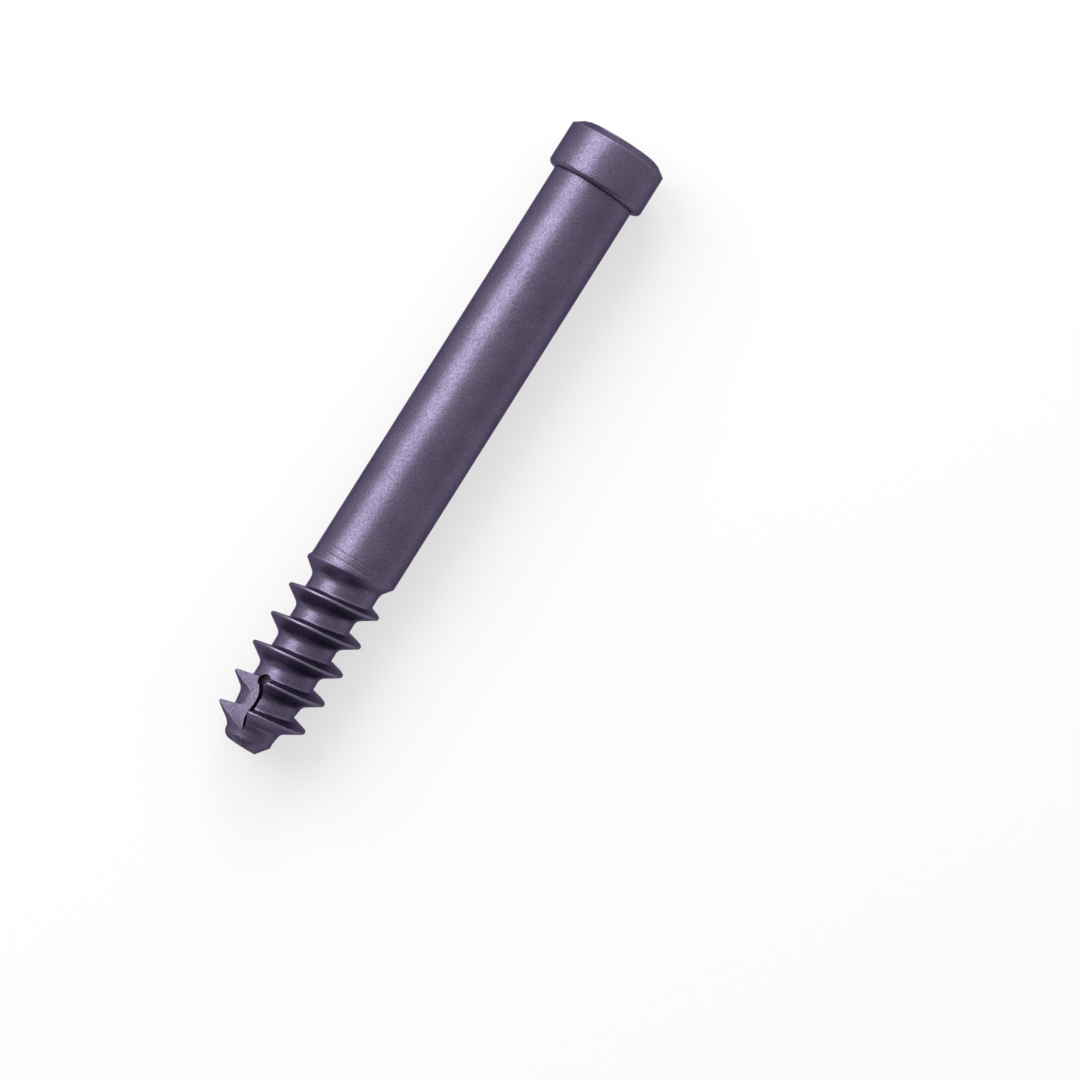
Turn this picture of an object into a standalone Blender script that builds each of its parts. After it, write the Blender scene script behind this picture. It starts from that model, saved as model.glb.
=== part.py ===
"""Bone screw: a shank screw with a short coarse thread, turned and milled from one titanium bar.

The screw is drawn along +X in its own frame, tip face at x = 0 and head at +X. Angles round the
axis start at +Y and turn towards +Z, so a height that grows with the angle is a right-hand thread.
The finished screw lies on the floor, z = 0, as it would come to rest: on the lower rim of its head
and on a crest of its thread.
"""

from math import acos, atan, atan2, cos, hypot, pi, radians, sin, sqrt, tan

import bmesh
import bpy
import numpy as np

MM = 0.001

# Lengths along the axis
OVERALL_LENGTH = 60.0 * MM
HEAD_HEIGHT = 4.6 * MM

# Diameters of thread and shank. The shank is a little thinner, so that it slides through the tapped hole.
THREAD_DIAMETER = 8.0 * MM
SHANK_STEP = 0.45 * MM
SHANK_DIAMETER = THREAD_DIAMETER - SHANK_STEP

# Head
HEAD_DIAMETER = 9.0 * MM
HEAD_LOWER_ROUND_SHARE = 0.62
HEAD_LOWER_ROUND = HEAD_LOWER_ROUND_SHARE * (HEAD_DIAMETER - SHANK_DIAMETER) / 2
HEAD_BEVEL_WIDTH = 0.78 * MM
HEAD_BEVEL_HEIGHT = 0.56 * MM
HEAD_EDGE_ROUND = 0.06 * MM
BOSS_DIAMETER = 6.8 * MM
BOSS_HEIGHT = 0.13 * MM
BOSS_EDGE_ROUND = 0.05 * MM

# Driver socket
SOCKET_ACROSS_FLATS = 3.5 * MM
SOCKET_DEPTH = 3.4 * MM
SOCKET_MOUTH_DIAMETER = 4.6 * MM
PILOT_DIAMETER = 2.2 * MM
PILOT_EXTRA_DEPTH = 0.6 * MM
PILOT_POINT_ANGLE = radians(59)

# Thread profile
CORE_DIAMETER = 5.0 * MM
PITCH = 2.85 * MM
CREST_WIDTH = 0.20 * MM
CREST_ROUND = 0.06 * MM
HEAD_SIDE_FLANK = radians(11)
TIP_SIDE_FLANK = radians(33)
HEAD_SIDE_ROOT_RADIUS = 0.28 * MM
TIP_SIDE_ROOT_RADIUS = 0.80 * MM
CREST_HEIGHT_AT_ANGLE_ZERO = 13.70 * MM

# Run-out of the thread on the shank, as heights of the crest above the groove. Part of the groove's
# rise is even, and the rest comes at its end.
GROOVE_RUNOUT_START = 15.2 * MM
GROOVE_RUNOUT_END = 18.95 * MM
GROOVE_RUNOUT_EVEN_SHARE = 0.5
GROOVE_RUNOUT_POWER = 8.0
CREST_RUNOUT_START = 16.1 * MM
CREST_RUNOUT_END = 17.7 * MM

# Nose and the start of the thread on it. The chamfer's shoulder is lowest at +Y and highest at -Y, and
# the core lies a little towards +Y between the nose and the full thread.
NOSE_DIAMETER = 4.2 * MM
NOSE_ROUND = 0.80 * MM
NOSE_TAPER_TOP = 3.8 * MM
NOSE_TAPER_BOTTOM = 0.9 * MM
CHAMFER_SLOPE = 0.744
CHAMFER_LOW_SHOULDER = 0.35 * MM
CHAMFER_HIGH_SHOULDER = 1.17 * MM
CHAMFER_POWER = 1.5
CORE_OFFSET = 0.16 * MM
CORE_OFFSET_START = 0.7 * MM
CORE_OFFSET_FULL = 1.6 * MM
CORE_OFFSET_FADE = 3.8 * MM
CORE_OFFSET_END = 5.6 * MM
THREAD_TAPER_TOP = 5.6 * MM
THREAD_TAPER_BOTTOM = 2.4 * MM
THREAD_TAPER_DEPTH = 0.25 * MM
THREAD_START = 0.8 * MM

# Cutting flutes. A flat relief and a deeper chip slot are both milled from the direction FLUTE_ANGLE.
FLUTE_COUNT = 2
FLUTE_ANGLE = radians(78.5)
RAKE_OFFSET = 0.25 * MM
RELIEF_CLEARANCE = 0.02 * MM
RELIEF_LEAN = radians(12)
RELIEF_RAMP = radians(12)
RELIEF_TOP = 5.6 * MM
RELIEF_WIDTH_AT_TOP = 1.85 * MM
RELIEF_SIDE_HEIGHT = 5.0 * MM
RELIEF_WIDTH_AT_SIDE = 2.35 * MM
RELIEF_OPEN_HEIGHT = 2.5 * MM
RELIEF_FLOOR_AT_TIP = 2.18 * MM
RELIEF_FLOOR_START = 1.2 * MM
RELIEF_FLOOR_SLOPE = 0.095
SLOT_FLOOR = 1.05 * MM
CHIP_HOLE_RADIUS = 0.62 * MM
CHIP_HOLE_HEIGHT = 5.72 * MM
CHIP_HOLE_AHEAD = 0.55 * MM
# The chip slot's free edge, as (height, width ahead of the rake face), up to where it meets the hole
SLOT_EDGE = [(1.25 * MM, 0.0 * MM), (1.76 * MM, 0.26 * MM), (2.3 * MM, 0.42 * MM), (2.8 * MM, 0.44 * MM),
             (3.9 * MM, 0.33 * MM), (4.4 * MM, 0.38 * MM), (4.9 * MM, 0.58 * MM), (5.3 * MM, 0.88 * MM)]

# Fineness of the faceted surface. SIDES is a multiple of four and the corners are shifted by half a
# side, so that a flat lies underneath.
SIDES = 48
CORNER_SHIFT = 0.5
HEXAGON_SIDES = 6
PILOT_SIDES = 24
FILLET_STEPS = 4
SMALL_FILLET_STEPS = 3
NOSE_STEPS = 5
HOLE_STEPS = 12
CUTTER_OVERSHOOT = 1.0 * MM
SHARP_EDGE_ANGLE = radians(30)

TITANIUM_COLOR = (0.135, 0.105, 0.175, 1.0)
TITANIUM_METALLIC = 0.85
TITANIUM_ROUGHNESS = 0.38


def clear_scene():
    for leftover in list(bpy.data.objects):
        bpy.data.objects.remove(leftover, do_unlink=True)


def smooth_step(value, low, high):
    """0 at low, 1 at high, with no kink at either end."""
    share = np.clip((value - low) / (high - low), 0.0, 1.0)
    return share * share * (3.0 - 2.0 * share)


def fillet(foot, flank_angle, radius, steps):
    """The rounded corner between a flank and the root, as (distance from crest, height over root).

    foot is where the bare flank would meet the root, and flank_angle is measured from the radius.
    """
    centre = foot + radius * tan((pi / 2 - flank_angle) / 2)
    turns = np.linspace(flank_angle, pi / 2, steps + 1)
    return [(centre - radius * cos(turn), radius - radius * sin(turn)) for turn in turns]


def thread_section():
    """One pitch of the thread from a crest towards the head: (offset, level, on the upper crest).

    Level is 0 on the root and 1 on the crest. The head-side flank is nearly square, as on a screw
    that has to pull bone towards its head, and the tip-side flank slopes.
    """
    depth = (THREAD_DIAMETER - CORE_DIAMETER) / 2
    edge = CREST_WIDTH / 2
    shoulder = depth - CREST_ROUND
    lower = [(edge - CREST_ROUND, depth), (edge, shoulder)]
    lower += fillet(edge + shoulder * tan(HEAD_SIDE_FLANK), HEAD_SIDE_FLANK,
                    HEAD_SIDE_ROOT_RADIUS, SMALL_FILLET_STEPS)
    upper = [(edge - CREST_ROUND, depth), (edge, shoulder)]
    upper += fillet(edge + shoulder * tan(TIP_SIDE_FLANK), TIP_SIDE_FLANK,
                    TIP_SIDE_ROOT_RADIUS, FILLET_STEPS)
    section = [(offset, height / depth, False) for offset, height in lower]
    section += [(PITCH - offset, height / depth, True) for offset, height in reversed(upper)]
    return section


def nose_radius(height, angle):
    """Radius that the nose's round end and its chamfer leave. The chamfer is deepest at 180 degrees."""
    lean = ((1 - cos(angle)) / 2) ** CHAMFER_POWER
    shoulder = CHAMFER_LOW_SHOULDER + lean * (CHAMFER_HIGH_SHOULDER - CHAMFER_LOW_SHOULDER)
    radius = NOSE_DIAMETER / 2 - CHAMFER_SLOPE * (shoulder - height)
    if height < NOSE_ROUND:
        rise = NOSE_ROUND - max(height, 0.0)
        radius = min(radius, NOSE_DIAMETER / 2 - NOSE_ROUND + sqrt(NOSE_ROUND ** 2 - rise ** 2))
    return radius


def root_radius(height, crest_above, angle):
    """Radius at the bottom of the groove: full depth, rising out of the shank, tapered at the nose."""
    share = (crest_above - GROOVE_RUNOUT_START) / (GROOVE_RUNOUT_END - GROOVE_RUNOUT_START)
    share = np.clip(share, 0.0, 1.0)
    run_out = GROOVE_RUNOUT_EVEN_SHARE * share
    run_out += (1 - GROOVE_RUNOUT_EVEN_SHARE) * share ** GROOVE_RUNOUT_POWER
    radius = CORE_DIAMETER / 2 + run_out * (SHANK_DIAMETER - CORE_DIAMETER) / 2
    into_nose = np.clip((NOSE_TAPER_TOP - height) / (NOSE_TAPER_TOP - NOSE_TAPER_BOTTOM), 0.0, 1.0)
    radius -= into_nose * (CORE_DIAMETER - NOSE_DIAMETER) / 2
    offset = smooth_step(height, CORE_OFFSET_START, CORE_OFFSET_FULL)
    offset *= 1 - smooth_step(height, CORE_OFFSET_FADE, CORE_OFFSET_END)
    radius += offset * CORE_OFFSET * cos(angle)
    return min(radius, nose_radius(height, angle))


def crest_radius(crest_height, root):
    """Radius of the crest: it starts on the nose and ends flush with the shank."""
    taper = np.clip((THREAD_TAPER_TOP - crest_height) / (THREAD_TAPER_TOP - THREAD_TAPER_BOTTOM), 0.0, 1.0)
    radius = THREAD_DIAMETER / 2 - taper * THREAD_TAPER_DEPTH
    flush = smooth_step(crest_height, CREST_RUNOUT_START, CREST_RUNOUT_END)
    radius += flush * (SHANK_DIAMETER / 2 - radius)
    start = smooth_step(crest_height, THREAD_START, THREAD_TAPER_BOTTOM)
    return root + start * (radius - root)


def thread_column(angle, section, turns):
    """Heights and radii of the threaded surface along one line of the screw, tip to shank."""
    heights, radii = [], []
    for turn in range(turns):
        crest_below = CREST_HEIGHT_AT_ANGLE_ZERO % PITCH + PITCH * (turn - 2 + angle / (2 * pi))
        for offset, level, on_upper_crest in section:
            height = crest_below + offset
            root = root_radius(height, crest_below + PITCH, angle)
            crest = crest_radius(crest_below + PITCH * on_upper_crest, root)
            heights.append(height)
            radii.append(root + (crest - root) * level)
    return np.array(heights), np.array(radii)


def column_angles():
    return [2 * pi * (side + CORNER_SHIFT) / SIDES for side in range(SIDES)]


def add_ring(mesh, height, radii):
    """A closed ring of vertices across the axis; radii is one number, or one for each side."""
    radii = np.broadcast_to(radii, SIDES)
    return [mesh.verts.new((height, radius * cos(angle), radius * sin(angle)))
            for radius, angle in zip(radii, column_angles())]


def join_rings(mesh, tipward, headward):
    for side in range(SIDES):
        after = (side + 1) % SIDES
        mesh.faces.new((tipward[side], tipward[after], headward[after], headward[side]))


def add_thread(mesh):
    """The threaded length, as a net of lines that follow the helix.

    Every row of the net is one point of the thread's section, carried round the screw. A row that
    has passed an end of the thread stays on that end's ring. Returns the two end rings.
    """
    section = thread_section()
    rows = len(section)
    low, high = NOSE_ROUND, GROOVE_RUNOUT_END
    turns = int((high + PITCH) / PITCH) + 3
    columns = [thread_column(angle, section, turns + 1) for angle in column_angles()]
    tip_ring = add_ring(mesh, low, [np.interp(low, heights, radii) for heights, radii in columns])
    shank_ring = add_ring(mesh, high, SHANK_DIAMETER / 2)
    net = []
    for side, (heights, radii) in enumerate(columns):
        angle = column_angles()[side]
        line = []
        for height, radius in zip(heights, radii):
            if height <= low:
                line.append(tip_ring[side])
            elif height >= high:
                line.append(shank_ring[side])
            else:
                line.append(mesh.verts.new((height, radius * cos(angle), radius * sin(angle))))
        net.append(line)
    for side in range(SIDES):
        last = side == SIDES - 1
        after = net[0][rows:] if last else net[side + 1]
        for row in range(rows * turns - 1):
            corners = [net[side][row], after[row], after[row + 1], net[side][row + 1]]
            unlike = list(dict.fromkeys(corners))
            if len(unlike) > 2:
                mesh.faces.new(unlike)
    return tip_ring, shank_ring


def head_outline():
    """(height, radius) of the head's profile, from its seat on the shank to the edge of the boss."""
    seat = OVERALL_LENGTH - HEAD_HEIGHT
    radius = HEAD_DIAMETER / 2
    land = OVERALL_LENGTH - BOSS_HEIGHT
    wall_top = land - HEAD_BEVEL_HEIGHT
    boss = BOSS_DIAMETER / 2
    outline = [(seat, SHANK_DIAMETER / 2)]
    for turn in np.linspace(0.0, pi / 2, FILLET_STEPS + 1):
        outline.append((seat + HEAD_LOWER_ROUND * (1 - cos(turn)),
                        radius - HEAD_LOWER_ROUND * (1 - sin(turn))))
    bevel_length = hypot(HEAD_BEVEL_WIDTH, HEAD_BEVEL_HEIGHT)
    outline += [
        (wall_top - HEAD_EDGE_ROUND, radius),
        (wall_top + HEAD_EDGE_ROUND * HEAD_BEVEL_HEIGHT / bevel_length,
         radius - HEAD_EDGE_ROUND * HEAD_BEVEL_WIDTH / bevel_length),
        (land, radius - HEAD_BEVEL_WIDTH),
        (land, boss),
        (OVERALL_LENGTH - BOSS_EDGE_ROUND, boss),
        (OVERALL_LENGTH, boss - BOSS_EDGE_ROUND),
    ]
    return outline


def turned_and_threaded_blank():
    """The whole screw before its socket and flutes are cut, as one closed mesh."""
    mesh = bmesh.new()
    thread_start, thread_end = add_thread(mesh)
    previous = None
    for turn in np.linspace(0.0, pi / 2, NOSE_STEPS + 1)[:-1]:
        height = NOSE_ROUND * (1 - cos(turn))
        ring = add_ring(mesh, height, [nose_radius(height, angle) for angle in column_angles()])
        if previous:
            join_rings(mesh, previous, ring)
        else:
            mesh.faces.new(ring)
        previous = ring
    join_rings(mesh, previous, thread_start)
    previous = thread_end
    for height, radius in head_outline():
        ring = add_ring(mesh, height, radius)
        join_rings(mesh, previous, ring)
        previous = ring
    mesh.faces.new(previous)
    bmesh.ops.delete(mesh, geom=[v for v in mesh.verts if not v.link_faces], context="VERTS")
    bmesh.ops.recalc_face_normals(mesh, faces=mesh.faces)
    bmesh.ops.triangulate(mesh, faces=mesh.faces)
    return mesh


def object_from(mesh, name):
    data = bpy.data.meshes.new(name)
    mesh.to_mesh(data)
    mesh.free()
    made = bpy.data.objects.new(name, data)
    bpy.context.scene.collection.objects.link(made)
    return made


def loft(sections):
    """A closed cutter through sections of equal length, each a list of corners (x, y, z)."""
    mesh = bmesh.new()
    rows = [[mesh.verts.new(corner) for corner in section] for section in sections]
    mesh.faces.new(rows[0])
    mesh.faces.new(rows[-1])
    for lower, upper in zip(rows, rows[1:]):
        for index in range(len(lower)):
            after = (index + 1) % len(lower)
            mesh.faces.new((lower[index], lower[after], upper[after], upper[index]))
    bmesh.ops.triangulate(mesh, faces=mesh.faces)
    bmesh.ops.recalc_face_normals(mesh, faces=mesh.faces)
    return mesh


def relief_sections(place, ceiling):
    """The flat relief beside the slot: walled in on the upper crest, and open below it.

    Its floor falls away from the rake face, and rises towards the head. It stays just clear of the rake
    face, which the slot alone cuts.
    """
    near = RAKE_OFFSET + RELIEF_CLEARANCE
    beyond = THREAD_DIAMETER / 2 + CUTTER_OVERSHOOT
    reach = [(-CUTTER_OVERSHOOT, beyond), (RELIEF_FLOOR_START, beyond), (RELIEF_OPEN_HEIGHT, beyond),
             (RELIEF_SIDE_HEIGHT, RELIEF_WIDTH_AT_SIDE), (RELIEF_TOP, RELIEF_WIDTH_AT_TOP)]
    sections = []
    for height, width in reach:
        level = RELIEF_FLOOR_AT_TIP + RELIEF_FLOOR_SLOPE * max(height - RELIEF_FLOOR_START, 0.0)
        outer = level - width * tan(RELIEF_LEAN)
        brim = RAKE_OFFSET + width + (ceiling - outer) * tan(RELIEF_RAMP)
        sections.append([place(near, height, level), place(RAKE_OFFSET + width, height, outer),
                         place(brim, height, ceiling), place(near, height, ceiling)])
    return sections


def slot_outline():
    """The chip slot along the foot of the rake face, ending in a round hole at its head end."""
    hole_side = RAKE_OFFSET + CHIP_HOLE_AHEAD
    outline = [(RAKE_OFFSET + width, height) for height, width in SLOT_EDGE]
    height, width = SLOT_EDGE[-1]
    start = atan2(height - CHIP_HOLE_HEIGHT, width - CHIP_HOLE_AHEAD)
    end = pi + acos(CHIP_HOLE_AHEAD / CHIP_HOLE_RADIUS)
    for turn in np.linspace(start, end, HOLE_STEPS + 1):
        outline.append((hole_side + CHIP_HOLE_RADIUS * cos(turn),
                        CHIP_HOLE_HEIGHT + CHIP_HOLE_RADIUS * sin(turn)))
    return outline


def flute_cutters(number):
    """The relief and slot cutters of one flute. The side axis points ahead of the rake face."""
    out_angle = FLUTE_ANGLE + 2 * pi * number / FLUTE_COUNT
    side_angle = out_angle - pi / 2

    def place(side, height, out):
        return (height,
                side * cos(side_angle) + out * cos(out_angle),
                side * sin(side_angle) + out * sin(out_angle))

    ceiling = THREAD_DIAMETER / 2 + CUTTER_OVERSHOOT
    relief = loft(relief_sections(place, ceiling))
    slot = loft([[place(side, height, level) for side, height in slot_outline()]
                 for level in (SLOT_FLOOR, ceiling)])
    return [object_from(relief, f"relief_cutter_{number + 1}"),
            object_from(slot, f"slot_cutter_{number + 1}")]


def socket_cutters():
    """The hexagon with its drilled pilot, and the turned lead-in round its mouth."""
    corner = SOCKET_ACROSS_FLATS / 2 / cos(pi / HEXAGON_SIDES)
    mouth = OVERALL_LENGTH
    floor = mouth - SOCKET_DEPTH
    top = mouth + CUTTER_OVERSHOOT
    hexagon = lathe([(floor, corner), (top, corner)], HEXAGON_SIDES)
    pilot_radius = PILOT_DIAMETER / 2
    pilot_end = floor - PILOT_EXTRA_DEPTH
    point = pilot_end - pilot_radius / tan(PILOT_POINT_ANGLE)
    pilot = lathe([(point, 0.0), (pilot_end, pilot_radius), (top, pilot_radius)], PILOT_SIDES)
    lead_in = SOCKET_MOUTH_DIAMETER / 2 - corner
    cone_top = SOCKET_MOUTH_DIAMETER / 2 + CUTTER_OVERSHOOT
    cone = lathe([(mouth - lead_in - corner, 0.0), (top, cone_top)], SIDES)
    return [object_from(hexagon, "hexagon_cutter"), object_from(pilot, "pilot_cutter"),
            object_from(cone, "lead_in_cutter")]


def lathe(profile, sides):
    """A closed solid turned round the axis from (height, radius) points, tip end first."""
    mesh = bmesh.new()
    rings = []
    for height, radius in profile:
        if radius == 0.0:
            rings.append([mesh.verts.new((height, 0.0, 0.0))])
            continue
        turns = [2 * pi * (side + CORNER_SHIFT) / sides for side in range(sides)]
        rings.append([mesh.verts.new((height, radius * cos(turn), radius * sin(turn))) for turn in turns])
    for lower, upper in zip(rings, rings[1:]):
        for side in range(sides):
            after = (side + 1) % sides
            corners = [lower[side % len(lower)], lower[after % len(lower)], upper[after], upper[side]]
            mesh.faces.new(list(dict.fromkeys(corners)))
    for end in (rings[0], rings[-1]):
        if len(end) > 1:
            mesh.faces.new(end)
    bmesh.ops.recalc_face_normals(mesh, faces=mesh.faces)
    return mesh


def cut_from(body, cutter):
    cutter.hide_render = True
    cutter.display_type = "WIRE"
    cutter.parent = body
    cut = body.modifiers.new(f"cut by {cutter.name}", "BOOLEAN")
    cut.operation = "DIFFERENCE"
    cut.solver = "EXACT"
    cut.object = cutter


def supporting_line(points):
    """The two points (x, z) that a long body lies on: the lower hull's edge under its middle."""
    hull = []
    for point in sorted(points):
        while len(hull) > 1:
            (x0, z0), (x1, z1) = hull[-2:]
            if (x1 - x0) * (point[1] - z0) > (z1 - z0) * (point[0] - x0):
                break
            hull.pop()
        hull.append(point)
    middle = OVERALL_LENGTH / 2
    for left, right in zip(hull, hull[1:]):
        if left[0] <= middle <= right[0]:
            return left, right
    return hull[0], hull[-1]


def lay_on_floor(body):
    """Tips the screw until its head rim and a thread crest both touch z = 0, centred over the origin."""
    corners = np.array([vertex.co for vertex in body.data.vertices], dtype=np.float64)
    (x0, z0), (x1, z1) = supporting_line([(x, z) for x, _, z in corners])
    tilt = atan((z1 - z0) / (x1 - x0))
    along = corners[:, 0] * cos(tilt) + corners[:, 2] * sin(tilt)
    up = corners[:, 2] * cos(tilt) - corners[:, 0] * sin(tilt)
    body.rotation_euler = (0.0, tilt, 0.0)
    body.location = (-(along.min() + along.max()) / 2,
                     -(corners[:, 1].min() + corners[:, 1].max()) / 2,
                     -up.min())


def anodised_titanium():
    material = bpy.data.materials.new("anodised_titanium")
    material.use_nodes = True
    shader = material.node_tree.nodes["Principled BSDF"]
    shader.inputs["Base Color"].default_value = TITANIUM_COLOR
    shader.inputs["Metallic"].default_value = TITANIUM_METALLIC
    shader.inputs["Roughness"].default_value = TITANIUM_ROUGHNESS
    return material


def bone_screw():
    screw = object_from(turned_and_threaded_blank(), "bone_screw")
    screw.data.materials.append(anodised_titanium())
    screw.data.shade_smooth()
    screw.data.set_sharp_from_angle(angle=SHARP_EDGE_ANGLE)
    cutters = socket_cutters()
    for number in range(FLUTE_COUNT):
        cutters += flute_cutters(number)
    for cutter in cutters:
        cut_from(screw, cutter)
    lay_on_floor(screw)
    return screw


clear_scene()
bone_screw()
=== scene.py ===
# %% [markdown]
# # A bone screw on a white table
# This lesson dresses a titanium bone screw for its photograph. The screw is turned, threaded and milled
# from one bar, so there is one piece to make. Its frame file brings the plain faceted screw at its real
# size. The cells below build a finer copy of it in the same place, give it its blasted and anodised
# skin, and light it as a product photographer would.

from math import acos, atan, atan2, cos, pi, radians, sin, sqrt, tan

import bmesh
import bpy
import numpy as np
from mathutils import Matrix, Vector


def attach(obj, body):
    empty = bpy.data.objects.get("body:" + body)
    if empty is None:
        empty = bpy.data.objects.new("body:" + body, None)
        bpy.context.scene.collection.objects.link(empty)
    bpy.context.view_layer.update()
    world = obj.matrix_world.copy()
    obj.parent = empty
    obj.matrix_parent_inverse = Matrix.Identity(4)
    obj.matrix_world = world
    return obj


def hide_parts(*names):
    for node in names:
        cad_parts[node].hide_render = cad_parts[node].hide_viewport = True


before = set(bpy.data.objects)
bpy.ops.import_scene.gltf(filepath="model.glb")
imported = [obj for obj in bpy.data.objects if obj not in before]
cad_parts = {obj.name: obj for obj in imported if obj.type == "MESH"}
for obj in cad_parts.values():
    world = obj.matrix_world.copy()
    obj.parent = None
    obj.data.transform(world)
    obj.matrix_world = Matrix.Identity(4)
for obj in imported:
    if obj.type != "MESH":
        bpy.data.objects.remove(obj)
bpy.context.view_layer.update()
MM = 0.001

# %% [markdown]
# ## Sizes of the screw
# The numbers are the real screw's, in millimetres. Head, hexagon, thread and core have the sizes that
# such screws are sold by, and the rest is measured against them. The fine surface must not reach outside
# the plain one, whose round parts have flat sides. A circle drawn through the middles of those flats is
# smaller by the cosine of half a side, so the finished blank is thinned by that much and a hair more.

# %% Overall sizes
OVERALL_LENGTH = 60.0 * MM
THREAD_DIAMETER = 8.0 * MM
SHANK_DIAMETER = 7.55 * MM
PLAIN_SIDES = 48
FINE_SIDES = 144
HAIR = 0.0001
FINE_FIT = cos(pi / PLAIN_SIDES) - HAIR
# Points that lie closer together than this are one point.
TINY = 0.0005 * MM
print("thinned by", round(100 * (1 - FINE_FIT), 2), "per cent")

# %% [markdown]
# ## Sizes of the thread and the nose
# A screw for the soft inner bone has a deep thread on a thin core. The flank towards the head is steep,
# because it carries the load when the screw pulls. The flank towards the tip slopes, which makes the
# thread strong at its foot, so the two flanks also meet the core with different radii. Every height is
# counted from the tip, so that the thread and the nose can share them.

# %% Thread and nose sizes
NOSE = {"diameter": 4.2 * MM, "round": 0.80 * MM, "slope": 0.744, "power": 1.5,
        "low_shoulder": 0.35 * MM, "high_shoulder": 1.17 * MM}
THREAD = {
    "Pitch": 2.85 * MM,
    "Thread Diameter": THREAD_DIAMETER,
    "Core Diameter": 5.0 * MM,
    "Shank Diameter": SHANK_DIAMETER,
    "Crest Width": 0.20 * MM,
    "Crest Round": 0.09 * MM,
    "Head Side Flank": radians(11),
    "Tip Side Flank": radians(33),
    "Head Side Root Radius": 0.28 * MM,
    "Tip Side Root Radius": 0.80 * MM,
    "Crest Height At Angle Zero": 13.70 * MM,
    "Groove Runout Start": 15.2 * MM,
    "Groove Runout End": 18.95 * MM,
    "Groove Even Share": 0.5,
    "Groove Runout Power": 8.0,
    "Crest Runout Start": 16.1 * MM,
    "Crest Runout End": 17.7 * MM,
    "Thread Taper Top": 5.6 * MM,
    "Thread Taper Bottom": 2.4 * MM,
    "Thread Taper Depth": 0.25 * MM,
    "Thread Start": 0.8 * MM,
    "Nose Diameter": NOSE["diameter"],
    "Nose Taper Top": 3.8 * MM,
    "Nose Taper Bottom": 0.9 * MM,
    "Chamfer Slope": NOSE["slope"],
    "Chamfer Low Shoulder": NOSE["low_shoulder"],
    "Chamfer High Shoulder": NOSE["high_shoulder"],
    "Chamfer Power": NOSE["power"],
    "Core Offset": 0.16 * MM,
    "Core Offset Start": 0.7 * MM,
    "Core Offset Full": 1.6 * MM,
    "Core Offset Fade": 3.8 * MM,
    "Core Offset End": 5.6 * MM,
}
COUNTS = {"Columns": FINE_SIDES, "Turns": 8, "Corner Points": 6}
print("thread sizes:", len(THREAD), " nose sizes:", len(NOSE))

# %% [markdown]
# ## A short way to write nodes
# The thread, the skin, the card and the room are all made with nodes. Written out in full, a single sum
# of two values takes four lines. The class below takes one: a value is a plain number or another node's
# output, and a call gives back the output of the node that it has made.

# %% Node helper


class Nodes:
    """Adds nodes to one tree; a value is a number or another node's output."""

    def __init__(self, tree):
        self.tree = tree

    def add(self, kind, inputs=(), **fields):
        node = self.tree.nodes.new(kind)
        for name, value in fields.items():
            setattr(node, name, value)
        for place, value in dict(inputs).items():
            self.wire(value, node.inputs[place])
        return node

    def wire(self, value, socket):
        if isinstance(value, bpy.types.NodeSocket):
            self.tree.links.new(value, socket)
        else:
            socket.default_value = value

    def math(self, operation, first, second=0.0):
        return self.add("ShaderNodeMath", {0: first, 1: second}, operation=operation).outputs[0]

    def total(self, *values):
        result = values[0]
        for value in values[1:]:
            result = self.math("ADD", result, value)
        return result

    def product(self, *values):
        result = values[0]
        for value in values[1:]:
            result = self.math("MULTIPLY", result, value)
        return result

    def less(self, first, second):
        return self.math("SUBTRACT", first, second)

    def ramp(self, value, low, high, at_low=0.0, at_high=1.0, smooth=False):
        kind = "SMOOTHSTEP" if smooth else "LINEAR"
        inputs = {"Value": value, "From Min": low, "From Max": high, "To Min": at_low, "To Max": at_high}
        return self.add("ShaderNodeMapRange", inputs, interpolation_type=kind).outputs["Result"]

    def vector(self, x, y, z=0.0):
        return self.add("ShaderNodeCombineXYZ", {0: x, 1: y, 2: z}).outputs[0]

    def pick(self, index, values, kind):
        node = self.add("GeometryNodeIndexSwitch", data_type=kind)
        while len(node.index_switch_items) < len(values):
            node.index_switch_items.new()
        self.wire(index, node.inputs["Index"])
        for place, value in enumerate(values):
            self.wire(value, node.inputs[place + 1])
        return node.outputs[0]


# %% [markdown]
# ## The thread's section
# A lathe cuts the thread with one pointed tool that moves one pitch along for each turn. The node tree
# below does the same, so the tool's section is drawn first, from one crest to the next. It is a line
# with six corners, which are then rounded. A few points between the corners add rows to the surface,
# which keeps it smooth where the groove's depth changes.

# %% The section of the thread
BOTTOM_POINTS = (0.30, 0.45, 0.60)
FLANK_POINTS = (0.45, 0.70)


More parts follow.
